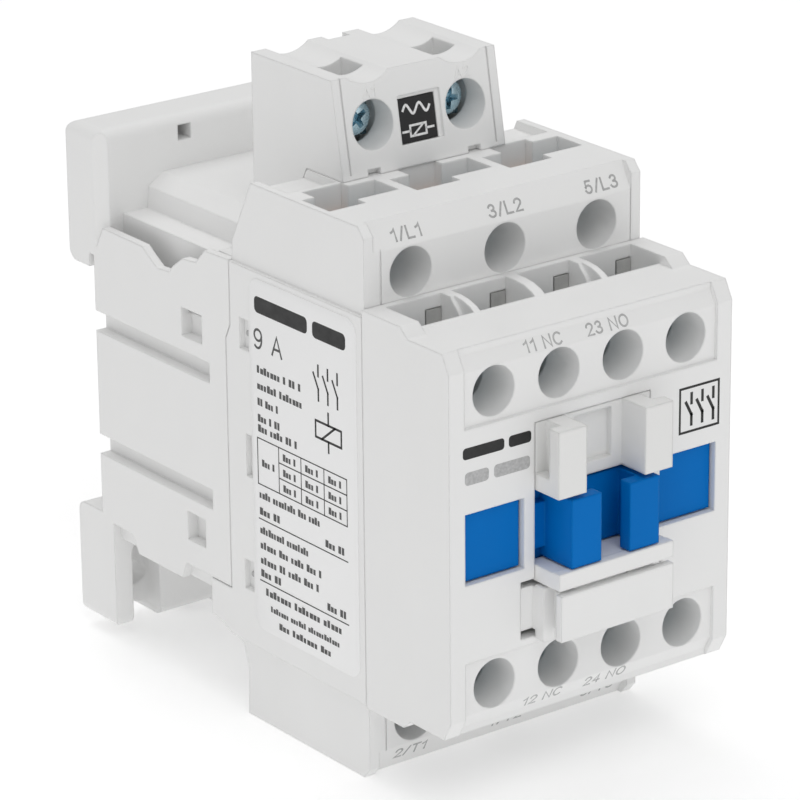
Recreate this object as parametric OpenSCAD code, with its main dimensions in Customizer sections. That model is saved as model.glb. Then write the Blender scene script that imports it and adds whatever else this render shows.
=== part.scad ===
// Three-pole DIN rail contactor, 9 A frame size, with two built-in auxiliary contacts.
// X runs across the poles, the front faces -Y, Z is up.
// The origin is the centre of the rail seat: Y = 0 is the plane of the rail's front face.

/* [Overall] */
// Width of the housings
body_w = 45; // [44.8:0.1:45.4]
// Height of the contact housing between its terminal rows' outer faces
body_h = 73.8; // [73.6:0.1:74.2]
// Depth from the rail seat to the front frame
front_depth = 76.8; // [76.6:0.1:77]

/* [Rail] */
// Height of the top-hat rail
rail_h = 35; // [35:0.1:35.2]
// Travel of the rail clip when it is pulled down
clip_travel = 3.5; // [2.5:0.1:3.5]

/* [Motion] */
// Stroke of the contact carrier
stroke = 5.5; // [4:0.1:5.5]
// Compression of the contact springs at the end of the stroke
overtravel = 2; // [1.5:0.1:2]
// Travel of the add-on block latch
latch_travel = 0.7; // [0.3:0.1:0.7]

/* [Terminals] */
// Pitch of the power poles
pole_pitch = 14.8; // [14.6:0.1:15]
// Pitch of the auxiliary terminals
aux_pitch = 10.18; // [10.1:0.02:10.2]
// Pitch of the coil terminals
coil_pitch = 14.72; // [14.6:0.02:14.8]
// Diameter of the screwdriver holes
driver_hole_d = 6.5; // [6:0.1:6.6]

/* [Screw feet] */
// Distance between the foot screw holes
foot_pitch = 35; // [34.8:0.1:35.2]
// Diameter of the foot screw holes, for M4
foot_hole_d = 4.2; // [4.1:0.1:4.3]

/* [Hidden] */
$fn = 48;

// Colours
body_colour = [0.86, 0.86, 0.85];
hook_colour = [0.93, 0.93, 0.91];
blue_colour = [0.0, 0.36, 0.68];
black_colour = [0.08, 0.08, 0.08];
steel_colour = [0.62, 0.63, 0.65];
zinc_colour = [0.66, 0.72, 0.74];
copper_colour = [0.78, 0.5, 0.3];
brass_colour = [0.8, 0.68, 0.36];
nylon_colour = [0.2, 0.2, 0.22];

// Height of the plane of symmetry of the magnet, contacts and housings
mid_z = -0.5;
hw = body_w / 2;
hh = body_h / 2;
// Reach of a cut that goes right through
through = [-100, 100];

// Depths, front is negative
seam_y = -31.2;
lower_seam_y = -30.2;
power_face_y = -59.4;
frame_y = -front_depth;
panel_y = frame_y + 0.45;
panel_wall = 1.7;
inner_y = frame_y + panel_wall;
flange_rear_y = 5.8;
flange_front_y = -2.4;
rail_gap_y = 1.1;

// Rail hook and foot
hook_z = rail_h / 2 + 0.2;
lip_z = rail_h / 2 - 1.7;
flange_top_z = 35.1;
foot_top_z = -19;
foot_bottom_z = -35.5;
clip_half_w = 7;

// Power poles
pole_x = [-pole_pitch, 0, pole_pitch];
screw_z = 29.9;
power_bore_d = 3.7;
contact_top_z = 33;
small_bore_d = 3.2;
strip_y = [-44.2, -43];
tip_h = 1.2;
tip_z = 11;
contact_gap = stroke - overtravel;
bridge_t = 1.2;
bridge_tip_h = 1;
bridge_rear_y = strip_y[0] - tip_h - contact_gap;

// Auxiliary contacts: the break contact is left of the middle, the make contact right
aux_x = [-1.5 * aux_pitch, -aux_pitch / 2, aux_pitch / 2, 1.5 * aux_pitch];
aux_screw_z = 19.3;
aux_strip_y = [-64, -63.2];
aux_bridge_t = 0.8;

// Magnet: three limbs across X, stacked along Z
stack_half_h = 7;
limb_x = [12.7, 17];
centre_limb = 4.2;
core_back_y = -3.6;
core_yoke_t = 6;
pole_face_y = -19;
air_gap_rest = 0.3;
arm_face_y = pole_face_y - stroke - air_gap_rest;
arm_limb = 4.5;
arm_yoke_t = 6;
pin_y = -32.3;
pin_d = 2.4;
pin_fit = 0.04;

// Coil terminals
coil_x = coil_pitch / 2;
coil_screw_z = 42.7;
coil_plate_y = [-34.4, -33.5];
coil_chamber_y = [-38.1, -32.8];

// ---------- Shapes ----------
module blk(x, y, z) {
  translate([x[0], y[0], z[0]])
    cube([x[1] - x[0], y[1] - y[0], z[1] - z[0]]);
}

// Outline given as [y, z], spanning x
module yz_prism(points, x) {
  translate([x[0], 0, 0])
    rotate([90, 0, 90])
      linear_extrude(x[1] - x[0])
        polygon(points);
}

// Outline given as [x, z], spanning y
module xz_prism(points, y) {
  translate([0, y[1], 0])
    rotate([90, 0, 0])
      linear_extrude(y[1] - y[0])
        polygon(points);
}

// Outline given as [x, y], spanning z
module xy_prism(points, z) {
  translate([0, 0, z[0]])
    linear_extrude(z[1] - z[0])
      polygon(points);
}

module rounded_area(a, b, r) {
  translate([a[0] + r, b[0]])
    square([a[1] - a[0] - 2 * r, b[1] - b[0]]);
  translate([a[0], b[0] + r])
    square([a[1] - a[0], b[1] - b[0] - 2 * r]);
  for (u = [a[0] + r, a[1] - r], v = [b[0] + r, b[1] - r])
    translate([u, v])
      circle(r);
}

module yz_rounded(y, z, r, x) {
  translate([x[0], 0, 0])
    rotate([90, 0, 90])
      linear_extrude(x[1] - x[0])
        rounded_area(y, z, r);
}

module xz_rounded(x, z, r, y) {
  translate([0, y[1], 0])
    rotate([90, 0, 0])
      linear_extrude(y[1] - y[0])
        rounded_area(x, z, r);
}

module rod_x(x, y, z, d) {
  translate([x[0], y, z])
    rotate([0, 90, 0])
      cylinder(d = d, h = x[1] - x[0]);
}

module rod_y(x, y, z, d) {
  translate([x, y[0], z])
    rotate([-90, 0, 0])
      cylinder(d = d, h = y[1] - y[0]);
}

module rod_z(x, y, z, d) {
  translate([x, y, z[0]])
    cylinder(d = d, h = z[1] - z[0]);
}

// Children at both sides of the plane X = 0
module left_right() {
  children();
  mirror([1, 0, 0])
    children();
}

// Children, drawn above mid_z = 0, at the top and mirrored at the bottom
module top_row() {
  translate([0, 0, mid_z])
    children();
}

module bottom_row() {
  translate([0, 0, mid_z])
    mirror([0, 0, 1])
      children();
}

module both_rows() {
  top_row()
    children();
  bottom_row()
    children();
}

// Compression spring along Y: stacked rings stand for the wire's turns
module spring_y(x, y, z, d, wire, turns) {
  pitch = (y[1] - y[0] - wire) / (turns - 1);
  for (i = [0:turns - 1])
    translate([x, y[0] + wire / 2 + i * pitch, z])
      rotate([90, 0, 0])
        rotate_extrude()
          translate([(d - wire) / 2, 0])
            circle(d = wire, $fn = 16);
}

// Cross-recess screw along Y, its head's front at y
module screw_y(x, y, z, head_d, head_h, shank_d, shank_l) {
  recess_w = head_d * 0.16;
  recess_l = head_d * 0.6;
  recess_depth = head_h * 0.55;
  difference() {
    union() {
      rod_y(x, [y, y + head_h], z, head_d);
      rod_y(x, [y + head_h, y + head_h + shank_l], z, shank_d);
    }
    translate([x, y, z])
      for (a = [45, 135])
        rotate([0, a, 0])
          blk([-recess_l / 2, recess_l / 2], [-1, recess_depth], [-recess_w / 2, recess_w / 2]);
  }
}

// ---------- Base housing ----------
// Outer side skin, from the rail seat to the seam
side_outline = [
  [0, hook_z], [0, -20], [-7, -20], [-8.7, -22.5], [-19, -22.5], [-20, -20.1],
  [lower_seam_y, -20.1], [lower_seam_y, 14.5], [seam_y, 16.5], [seam_y, 25.2],
  [-25.9, 25], [-23.9, 22.9], [-20.8, 22.6], [-18.6, 21], [-17.7, 20], [-15, 19.8],
  [-13.1, 20.9], [-11.6, 21.9], [-2.4, 22]
];
skin_x = hw - 1.2;
trough_x = 19.2;
trough_floor_z = 14.8;
shelf_z = 23.4;
hump_top_z = 27.95;
base_floor_z = -22.4;

module base_hump(grow, y) {
  xz_prism([
    [-15.35 - grow, 10], [-15.35 - grow, shelf_z], [-15.05 - grow, 26.35 + grow],
    [-12.6 - grow / 2, hump_top_z + grow], [12.6 + grow / 2, hump_top_z + grow],
    [15.05 + grow, 26.35 + grow], [15.35 + grow, shelf_z], [15.35 + grow, 10]
  ], y);
}

module base_body() {
  left_right()
    yz_prism(side_outline, [skin_x - 0.01, hw]);
  blk([-hw, hw], [flange_front_y, 0], [foot_top_z, hook_z]);
  blk([-skin_x, skin_x], [-25.4, 0], [base_floor_z, trough_floor_z]);
  blk([-skin_x, skin_x], [lower_seam_y, -25.3], [-20.1, trough_floor_z]);
  blk([-trough_x, trough_x], [lower_seam_y, 0], [trough_floor_z - 0.01, shelf_z]);
  base_hump(0, [seam_y, flange_front_y + 0.5]);
  left_right()
    blk([trough_x - 4, skin_x], [seam_y, -27.5], [16.5, 25.2]);
  left_right()
    blk([trough_x - 4, trough_x], [seam_y, -27.5], [16.5, 26.6]);
}

module top_flange() {
  intersection() {
    yz_rounded([flange_front_y, flange_rear_y], [lip_z, flange_top_z], 1.6, [-hw, hw]);
    xz_rounded([-hw, hw], [lip_z - 4, flange_top_z], 1.6, [-5, 10]);
    xy_prism([
      [-hw, 10], [-hw, -0.45], [-hw + 1.2, flange_front_y], [hw - 1.2, flange_front_y],
      [hw, -0.45], [hw, 10]
    ], [0, 60]);
  }
}

module foot() {
  intersection() {
    yz_rounded([flange_front_y - 0.2, flange_rear_y], [foot_bottom_z, foot_top_z], 1.4, [-hw, hw]);
    xz_rounded([-hw, hw], [foot_bottom_z, foot_top_z + 3], 1.4, [-5, 10]);
  }
}

// Groove for the rail clip: a channel with a wider undercut that holds the clip's flanges
module clip_channel() {
  slack = 0.3;
  blk([-clip_half_w - slack, clip_half_w + slack], [0.3, 8], [foot_bottom_z - 1, foot_top_z + 1]);
  blk([-clip_half_w - 1.8, clip_half_w + 1.8], [0.3, 2.9], [foot_bottom_z - 1, -20.2]);
}

module foot_screw_recess() {
  left_right() {
    x = foot_pitch / 2;
    r = 2.2;
    blk([x - r, x + r], [-4, 0], [-34.4, -25.2]);
    rod_z(x, 0, [-34.4, -25.2], 2 * r);
    rod_y(x, [-4, 0], -25.2, 2 * r);
    rod_y(x, [-4, 8], -30, foot_hole_d);
    blk([x - r - 0.2, x + r], [-4, 8], [foot_bottom_z - 1, -34.4]);
  }
}

module base_side_recesses() {
  depth = 1.6;
  left_right() {
    blk([hw - depth, hw + 1], [-26.4, 1], [7.1, 9.9]);
    blk([hw - depth, hw + 1], [-26.4, 1], [-10.5, -7.7]);
    blk([hw - depth, hw + 1], [-24.9, -20.3], [12, 15.9]);
    blk([hw - depth, hw + 1], [-24.6, -20.5], [-16.5, -12.5]);
  }
}

module base_shell() difference() {
  union() {
    base_body();
    top_flange();
    foot();
  }
  blk([-hw - 1, hw + 1], [0, rail_gap_y], [foot_top_z, hook_z]);
  // magnet chamber, open at the front
  blk([-17.9, 17.9], [seam_y - 1, -2.2], [-20.8, 20.8]);
  base_hump(-1.6, [seam_y - 1, -4.4]);
  // rear cells of the flange
  for (i = [-3:2])
    blk([i * 6.8 + 0.6, i * 6.8 + 6.2], [-0.9, 8], [19.6, 30.9]);
  // square lock pockets in the flange
  left_right()
    blk([8, 10.1], [-4, flange_rear_y - 1.2], [31.7, 33.8]);
  // slots for the coil terminals in the roof of the hump
  left_right()
    blk([coil_x - 2.9, coil_x + 2.9], [-31.2, -28.4], [22, 32]);
  clip_channel();
  foot_screw_recess();
  base_side_recesses();
}

module base_housing() color(body_colour) {
  base_shell();
  // seat of the clip's spring
  blk([-1.9, 1.9], [0, 5], seat_z);
}

// ---------- Rail clip ----------
clip_front_y = 0.6;
clip_rear_y = 5.4;
clip_bottom_z = -35.3;
seat_z = [-32.2, -31];
window_z = [-32.6, -24];

module din_clip() color(body_colour) difference() {
  union() {
    // shoulder that meets the rail's lower edge, and the lip behind it
    blk([-clip_half_w, clip_half_w], [clip_front_y, clip_rear_y], [clip_bottom_z, -rail_h / 2 - 0.2]);
    yz_prism([
      [1.3, -18], [1.3, -15.9], [2.6, -15.9], [4.4, -17.4], [clip_rear_y, -17.4], [clip_rear_y, -18]
    ], [-clip_half_w, clip_half_w]);
    // flanges in the channel's undercut
    blk([-clip_half_w - 1.4, clip_half_w + 1.4], [clip_front_y, 2.5], [-33, -20.6]);
    // pull tab
    blk([-4, 4], [clip_front_y, 3.4], [-37.4, clip_bottom_z + 0.1]);
  }
  blk([-2.3, 2.3], [-1, 8], window_z);
  // screwdriver slot in the tab
  blk([-2.2, 2.2], [-1, 8], [-36.6, -34.8]);
}

module clip_spring() color(steel_colour) {
  wire = 0.45;
  turns = 7;
  pitch = (window_z[1] - seat_z[1] - wire - 0.2) / (turns - 1);
  for (i = [0:turns - 1])
    translate([0, 3, seat_z[1] + wire / 2 + 0.1 + i * pitch])
      rotate_extrude()
        translate([1.5, 0])
          circle(d = wire, $fn = 16);
}

// ---------- Contact housing ----------
contact_rear_y = seam_y - 0.15;
contact_lower_rear_y = lower_seam_y - 0.15;
cheek_x = 20.6;
upper_x = hw - 0.5;
chamfer_y = 1.9;
chamfer_z = 3.5;
top_z = mid_z + hh;
bottom_z = mid_z - hh;
chamber_h = 20.2;
pole_chamber_w = 6.5;
// Wire pockets reach further to the left of their screw than to the right
pocket_left = 7.5;
pocket_right = 5.8;
pocket_outer_x = 21.1;
pocket_floor_z = 24.5;
pocket_y = [-51.3, strip_y[1] + 0.1];
pocket_ledge_y = -49.5;

// Side outline; c is the size of the front corners' chamfers
function contact_outline(cy, cz) = [
  [contact_lower_rear_y, 14.4], [contact_lower_rear_y, -20.3], [-25.7, -20.3], [-25.7, -25.35],
  [-28.1, -25.8], [-32.1, -27.8], [-33.1, -31], [-32.9, bottom_z],
  [power_face_y + cy, bottom_z], [power_face_y, bottom_z + cz],
  [power_face_y, top_z - cz], [power_face_y + cy, top_z],
  [-35.8, top_z], [-31.5, 27.9], [contact_rear_y, 25.2], [contact_rear_y, 16.4]
];

module contact_outer() {
  yz_prism(contact_outline(chamfer_y, chamfer_z), [-cheek_x, cheek_x]);
  intersection() {
    yz_prism(contact_outline(1.2, 1.4), [-hw, hw]);
    union() {
      blk([-upper_x, -cheek_x + 0.1], [-70, 0], [-60, 60]);
      blk([cheek_x - 0.1, upper_x], [-70, 0], [-60, 60]);
      blk([-hw, -cheek_x + 0.1], [-70, 0], [mid_z - 26.3, mid_z + 25.6]);
      blk([cheek_x - 0.1, hw], [-70, 0], [mid_z - 26.3, mid_z + 25.6]);
    }
  }
}

function pocket_left_x(x) = max(x - pocket_left, -pocket_outer_x);

module power_terminal_cut() {
  for (x = pole_x) {
    blk([pocket_left_x(x), x + pocket_right], pocket_y, [pocket_floor_z, hh + 1]);
    blk([x - 3.8, x + 3.8], [strip_y[0] - 0.3, pocket_y[1]], [chamber_h - 1, pocket_floor_z + 1]);
    rod_y(x, [power_face_y - 1, pocket_y[0] + 0.5], screw_z, driver_hole_d);
    rod_y(x, [strip_y[1], -38.6], screw_z, 4);
  }
}

// Ledge on the front wall of a power pocket, filled rear corner and raised part of the rear wall
module power_ribs() {
  for (x = pole_x) {
    right_x = x + pocket_right + 0.1;
    blk([x - 0.7, right_x], [pocket_y[0] - 0.1, pocket_ledge_y], [contact_top_z + 0.6, hh]);
    blk([pocket_left_x(x) - 0.1, x - 4.4], [-45.6, pocket_y[1] + 0.1], [contact_top_z + 0.3, hh]);
    blk([x + 1.7, right_x], [-44.4, pocket_y[1] + 0.1], [contact_top_z + 0.3, hh]);
  }
}

module contact_side_recesses() {
  depth = 0.8;
  left_right() {
    blk([hw - depth, hw + 1], [-35.4, -33.4], [13.9, 18.1]);
    blk([hw - depth, hw + 1], [-35.4, -33.4], [-19.2, -15.1]);
    blk([hw - depth, hw + 1], [-35.6, -34.3], [-3.3, 2.5]);
  }
}

module contact_housing() color(body_colour) {
  difference() {
    contact_outer();
    top_row() {
      // chamber of the magnet's crosshead, open at the rear
      blk([-19.4, 19.4], [-42.5, -25], [-chamber_h, chamber_h]);
      for (x = pole_x) {
        blk([x - pole_chamber_w, x + pole_chamber_w], [-58, -42.4], [-chamber_h, chamber_h]);
        blk([x - 4.8, x + 4.8], [power_face_y - 1, -57.9], [-4.8, 4.8]);
      }
    }
    both_rows()
      power_terminal_cut();
    contact_side_recesses();
    left_right() {
      // sunk floor beside the coil terminal block
      blk([13.3, cheek_x + 0.2], [-42.2, -25], [top_z - 1.2, top_z + 1]);
    }
    // parting lines of the legend strips
    for (x = [-19.4, 20.4]) {
      blk([x - 0.1, x + 0.1], [power_face_y - 1, power_face_y + 0.15], [top_z - 11, top_z + 1]);
      blk([x - 0.1, x + 0.1], [power_face_y - 1, power_face_y + 0.15], [bottom_z - 1, bottom_z + 11]);
    }
  }
  both_rows()
    power_ribs();
}

module fixed_contact(i) color(copper_colour) {
  x = pole_x[i];
  difference() {
    union() {
      blk([x - 5, x + 5], strip_y, [pocket_floor_z + 0.3, contact_top_z]);
      blk([x - 3.4, x + 3.4], strip_y, [9, pocket_floor_z + 0.4]);
    }
    rod_y(x, through, screw_z, power_bore_d);
  }
  rod_y(x, [strip_y[0] - tip_h, strip_y[0] + 0.1], tip_z, 4);
}

power_clamp_y = [-48.2, -47.2];
power_screw_y = -50.9;

module power_clamps() color(zinc_colour) {
  for (x = pole_x)
    difference() {
      union() {
        blk([x - 4.1, x + 4.1], power_clamp_y, [screw_z - 3.9, screw_z + 3.9]);
        blk([x - 4.1, x - 3.2], [power_clamp_y[0], -46.4], [screw_z - 3.9, screw_z + 3.9]);
        blk([x + 3.2, x + 4.1], [power_clamp_y[0], -46.4], [screw_z - 3.9, screw_z + 3.9]);
      }
      rod_y(x, through, screw_z, power_bore_d);
    }
}

module power_screws() color(zinc_colour) {
  for (x = pole_x)
    screw_y(x, power_screw_y, screw_z, 5.9, power_clamp_y[0] - power_screw_y, 3.5, 8.4);
}

module power_bridge(i) color(copper_colour) {
  x = pole_x[i];
  y = bridge_rear_y - 0.05;
  translate([0, 0, mid_z]) {
    blk([x - 2.5, x + 2.5], [y - bridge_tip_h - bridge_t, y - bridge_tip_h], [-13, 13]);
    for (z = [-tip_z, tip_z])
      rod_y(x, [y - bridge_tip_h - 0.1, y], z, 4);
  }
}

// ---------- Contact carrier ----------
tower_y = [-65.2, -41];
window_y = [-58.5, bridge_rear_y - bridge_tip_h + 0.25];
stem_y = [-73.4, -65.3];
plate_y = [-74.8, -73.3];
pad_front_y = panel_y + 0.35;
hook_front_y = -81.3;
hook_x = 7;
aux_window_y = [-72.8, -66];

module carrier_crosshead() {
  blk([-17.5, 17.5], [-41, -35.4], [-8, 8]);
  for (s = [-1, 1]) {
    z = [min(s * 7.3, s * 9.4), max(s * 7.3, s * 9.4)];
    blk([-6, 6], [-35.5, -30.5], z);
    arm = [min(s * 9.3, s * 19.7), max(s * 9.3, s * 19.7)];
    blk([-3.8, 3.8], [-33.5, -31.5], arm);
  }
}

module carrier_front() {
  blk([-20.6, 20.6], plate_y, [-5.1, 4.5]);
  blk([-hook_x, hook_x], [pad_front_y, plate_y[0] + 0.1], [-4.6, 4.4]);
  blk([-8.8, 8.8], [pad_front_y, plate_y[0] + 0.1], [-3.2, 2.8]);
  left_right() {
    blk([11.15, 19.8], [pad_front_y, plate_y[0] + 0.1], [-4.7, 4.1]);
    blk([4.8, hook_x], [hook_front_y, plate_y[0]], [-4.6, 4.4]);
    blk([2.3, hook_x], [hook_front_y, hook_front_y + 1.9], [-4.6, 4.4]);
  }
}

module contact_carrier() color(blue_colour) translate([0, 0, mid_z]) difference() {
  union() {
    carrier_crosshead();
    for (x = pole_x)
      blk([x - 4.2, x + 4.2], [tower_y[0] - 0.1, tower_y[1] + 0.1], [-4, 4]);
    blk([-19, 19], [-69, tower_y[0]], [-4, 4]);
    blk([-8.8, 8.8], stem_y, [-4, 4]);
    carrier_front();
  }
  for (x = pole_x)
    blk([x - 2.8, x + 2.8], window_y, through);
  for (x = [aux_x[1], aux_x[2]])
    blk([x - 1.9, x + 1.9], aux_window_y, through);
  rod_z(0, pin_y, through, pin_d + pin_fit);
}

module power_spring(i) color(steel_colour)
  spring_y(pole_x[i], [window_y[0] + 0.05, bridge_rear_y - bridge_tip_h - bridge_t - 0.1], mid_z, 4.3, 0.5, 7);

// ---------- Magnet ----------
module armature() color(steel_colour) translate([0, 0, mid_z]) difference() {
  union() {
    blk([-limb_x[1], limb_x[1]], [arm_face_y - arm_limb - arm_yoke_t, arm_face_y - arm_limb],
      [-stack_half_h, stack_half_h]);
    left_right()
      blk(limb_x, [arm_face_y - arm_limb - 0.1, arm_face_y], [-stack_half_h, stack_half_h]);
    blk([-centre_limb, centre_limb], [arm_face_y - arm_limb - 0.1, arm_face_y - 0.1],
      [-stack_half_h, stack_half_h]);
  }
  rod_z(0, pin_y, through, pin_d + pin_fit);
}

module armature_pin() color(steel_colour)
  rod_z(0, pin_y, [mid_z - 9.2, mid_z + 9.2], pin_d);

module fixed_core() color(steel_colour) translate([0, 0, mid_z]) difference() {
  union() {
    blk([-limb_x[1], limb_x[1]], [core_back_y - core_yoke_t, core_back_y], [-stack_half_h, stack_half_h]);
    left_right()
      blk(limb_x, [pole_face_y, core_back_y - core_yoke_t + 0.1], [-stack_half_h, stack_half_h]);
    blk([-centre_limb, centre_limb], [pole_face_y + 0.1, core_back_y - core_yoke_t + 0.1],
      [-stack_half_h, stack_half_h]);
  }
  left_right()
    blk([13.6, 14.5], [pole_face_y - 1, pole_face_y + 1.6], [-10, 10]);
}

module shading_rings() color(copper_colour) translate([0, 0, mid_z]) left_right() difference() {
  blk([13.65, 17.6], [pole_face_y + 0.4, pole_face_y + 1.4], [-7.7, 7.7]);
  blk([14.5, 17.05], [pole_face_y, pole_face_y + 2], [-7.05, 7.05]);
}

module core_cushion() color(black_colour)
  for (z = [-4.6, 4.6])
    xz_rounded([-14, 14], [mid_z + z - 2, mid_z + z + 2], 1.4, [core_back_y + 0.05, -2.25]);

bobbin_y = [-23.3, -10];
flange_t = 1.2;
return_spring_z = 16.8;

module coil_bobbin() color(nylon_colour) translate([0, 0, mid_z]) difference() {
  union() {
    blk([-6, 6], bobbin_y, [-8.8, 8.8]);
    for (y = [bobbin_y[0], bobbin_y[1] - flange_t])
      xz_rounded([-12.2, 12.2], [-14, 14], 1.2, [y, y + flange_t]);
    // seats of the return springs
    blk([-3.8, 3.8], [bobbin_y[1] - flange_t, bobbin_y[1]], [-20, 20]);
    // posts that carry the coil terminals
    left_right()
      blk([4.7, 10.2], [bobbin_y[0], bobbin_y[0] + flange_t], [13, 19.4]);
  }
  blk([-4.8, 4.8], through, [-7.6, 7.6]);
}

module coil_winding() color(copper_colour) translate([0, 0, mid_z]) difference() {
  xz_rounded([-11.8, 11.8], [-13.4, 13.4], 3, [bobbin_y[0] + flange_t + 0.1, bobbin_y[1] - flange_t - 0.1]);
  blk([-6.1, 6.1], through, [-8.9, 8.9]);
}

module return_springs() color(steel_colour)
  for (s = [-1, 1])
    spring_y(0, [-31.4, bobbin_y[1] - flange_t - 0.1], mid_z + s * return_spring_z, 5.2, 0.6, 8);

// ---------- Coil terminal block ----------
block_x = 13;
block_front = [[-43.2, top_z + 0.05], [-40.9, 49.2]];
block_tilt = atan((block_front[1][0] - block_front[0][0]) / (block_front[1][1] - block_front[0][1]));
block_top_z = block_front[1][1];
block_rear_y = -23.8;
strip_back_y = [-30, -29.2];

// Children drawn on the plane y = 0, z up, are laid on the block's tilted front face
module on_block_face() {
  translate([0, block_front[0][0], block_front[0][1]])
    rotate([-block_tilt, 0, 0])
      children();
}

module coil_terminal_block() color(body_colour) difference() {
  yz_prism([
    [block_rear_y, hump_top_z + 0.1], [-31.1, hump_top_z + 0.1], [-35.4, block_front[0][1]],
    block_front[0], block_front[1], [block_rear_y, block_top_z]
  ], [-block_x, block_x]);
  left_right() {
    // driver hole, clamp chamber and wire entry
    rod_y(coil_x, [-46, coil_chamber_y[0] + 0.1], coil_screw_z, driver_hole_d - 0.1);
    blk([coil_x - 3.6, coil_x + 3.6], coil_chamber_y, [37, 46.6]);
    blk([coil_x - 2.7, coil_x + 2.7], [-36.4, -31.8], [46, block_top_z + 1]);
    // passage of the terminal strip
    blk([coil_x - 3, coil_x + 3], [-33, -28.6], [36.9, 39]);
    blk([coil_x - 3, coil_x + 3], [-30.3, -28.6], [20, 39]);
    // wire saddle in the top
    rod_y(coil_x, [-45, -23], block_top_z + 4, 10.4);
    // parting lines of the cheeks
    on_block_face()
      blk([11.55, 11.75], [-1, 0.25], [0.6, 20]);
    // notch above the contact housing's partition
    blk([7, 9], [-44, -42.2], [block_front[0][1] - 1, block_front[0][1] + 0.8]);
  }
  blk([-1.9, 1.5], [-25.4, -20], [block_top_z - 2.1, block_top_z + 1]);
  // window of the coil plate, with a ledge at its right and top
  on_block_face() {
    blk([-3.2, 2.8], [-1, 0.9], [2.9, 8.8]);
    blk([-3.2, 3.5], [-1, 0.3], [2.9, 9.2]);
  }
}

module coil_plate() color(black_colour)
  on_block_face()
    blk([-3.1, 2.7], [0.35, 0.85], [3, 8.7]);

module coil_terminal(side) color(brass_colour) mirror([side < 0 ? 1 : 0, 0, 0]) difference() {
  union() {
    blk([coil_x - 2.4, coil_x + 2.4], [strip_back_y[0], bobbin_y[0] - 0.05], [18, 18.8]);
    blk([coil_x - 2.4, coil_x + 2.4], strip_back_y, [18, 38]);
    blk([coil_x - 2.4, coil_x + 2.4], [coil_plate_y[0], strip_back_y[1]], [37.2, 38]);
    blk([coil_x - 3.1, coil_x + 3.1], coil_plate_y, [37.2, 46.3]);
  }
  rod_y(coil_x, through, coil_screw_z, small_bore_d);
}

coil_clamp_y = [-36.6, -35.9];
coil_screw_y = -38.7;

module coil_clamps() color(zinc_colour) left_right() difference() {
  blk([coil_x - 3, coil_x + 3], coil_clamp_y, [coil_screw_z - 3, coil_screw_z + 3]);
  rod_y(coil_x, through, coil_screw_z, small_bore_d);
}

module coil_screws() color(zinc_colour) left_right()
  screw_y(coil_x, coil_screw_y, coil_screw_z, 4.9, coil_clamp_y[0] - coil_screw_y, 3, 3.4);

// ---------- Front housing ----------
front_outline = [
  [power_face_y - 0.1, 26.6], [-67.2, 26.6], [-68.7, 25.35], [-75.5, 25.35], [frame_y, 22.9],
  [frame_y, -22.9], [-75.5, -25.35], [-68.7, -25.35], [-67.2, -26.6], [power_face_y - 0.1, -26.6]
];
aux_pocket_y = [-70, -60.5];
aux_pocket_w = 4.3;
aux_floor_z = 13.2;
// Where a pocket narrows to the wire entry behind the thick front wall
aux_lip_y = -66.3;
aux_lip_z = 23.4;
front_chamber_h = 10.5;

// Everything here is measured from the mid plane
module aux_pocket(x) {
  blk([x - aux_pocket_w, x + aux_pocket_w], aux_pocket_y, [aux_floor_z, aux_lip_z]);
  blk([x - aux_pocket_w, x + aux_pocket_w], [aux_lip_y, aux_pocket_y[1]], [aux_lip_z - 0.1, hh]);
  rod_y(x, [frame_y - 1, aux_pocket_y[0] + 0.5], aux_screw_z, driver_hole_d);
  // slot for the tab of the terminal strip in the rear wall
  blk([x + 1.8, x + aux_pocket_w], [aux_pocket_y[1] - 0.1, power_face_y + 1], [aux_lip_z - 2, aux_lip_z + 1.5]);
}

// The partitions between the pockets round off towards the front wall
module aux_partition_cut() {
  outer = aux_x[3] + aux_pocket_w;
  yz_prism([
    [-62.4, 26.62], [-64.2, 26.4], [-65.6, 25.95], [-66.6, 25.35], [-69, 25.35], [-69, 28], [-62.4, 28]
  ], [-outer, outer]);
  // relief in the left side of the outer two
  for (x = [-aux_pitch, aux_pitch])
    yz_prism([
      [-61.4, 28], [-62.6, 26.2], [-63.7, 25.2], [-64.6, 23.9], [-65, aux_lip_z - 1],
      [aux_lip_y, aux_lip_z - 1], [aux_lip_y, 28]
    ], [x - 0.9, x - 0.2]);
}

module aux_terminal_cut() {
  for (x = aux_x)
    aux_pocket(x);
  aux_partition_cut();
  for (x = [aux_x[1], aux_x[2]])
    blk([x - 2, x + 2], [aux_strip_y[0] - 0.3, aux_strip_y[1] + 0.3], [front_chamber_h - 1, aux_floor_z + 1]);
  // sunk legend panel that runs over the chamfer
  yz_prism([
    [frame_y - 1, 15.4], [panel_y, 15.4], [panel_y, 22.6], [panel_y + 1, 24.45], [panel_y + 1, 30],
    [frame_y - 1, 30]
  ], [-20.1, 20.1]);
}

module front_housing() color(body_colour) difference() {
  translate([0, 0, mid_z]) {
    yz_prism(front_outline, [-hw, hw]);
  }
  both_rows()
    aux_terminal_cut();
  top_row() {
    blk([-21.2, 21.2], [inner_y, power_face_y + 1], [-front_chamber_h, front_chamber_h]);
    left_right()
      blk([10.85, 20.1], [frame_y - 1, inner_y + 1], [-5, 4.4]);
  }
  // centre opening, latch slots and latch chamber
  blk([-9.25, 9.25], [frame_y - 1, inner_y + 1], [-7.6, 13.4]);
  left_right()
    blk([7.3, 11.45], [frame_y - 1, inner_y + 1], [-14.9, -7.2]);
  blk([-12.8, 12.8], [inner_y - 0.01, -73.4], [-15.4, -7.8]);
}

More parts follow.
